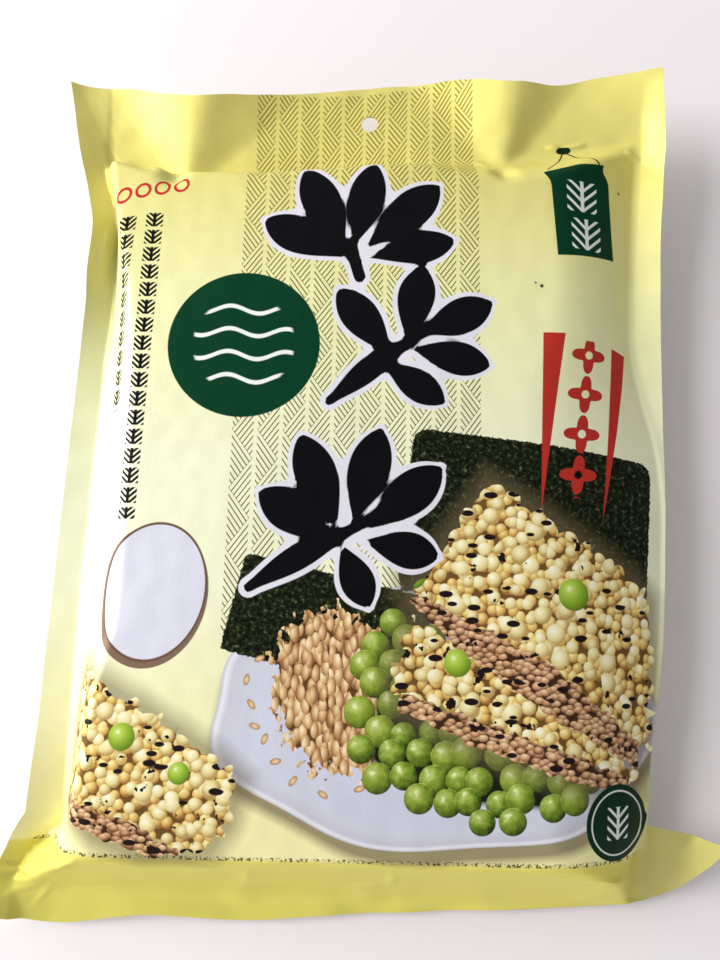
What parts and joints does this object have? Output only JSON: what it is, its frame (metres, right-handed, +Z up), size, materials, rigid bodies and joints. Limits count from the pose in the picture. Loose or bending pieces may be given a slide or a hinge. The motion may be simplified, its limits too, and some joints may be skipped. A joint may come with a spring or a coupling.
{
  "type": "full snack food bag of printed film",
  "caption": "Sealed pillow bag of printed film, full and lying on its back, with a flat header and a round hang hole.",
  "frame": {"origin": "centre of the bounding box's bottom face, on the ground that the bag lies on", "axes": "+Z up through the shown face, +Y from the bottom seal towards the header, +X to the right of the shown face"},
  "size_m": [0.26, 0.3306, 0.037],
  "materials": {
    "film": "satin"
  },
  "bodies": {
    "root": {"snack_bag": "film"}
  },
  "joints": []
}
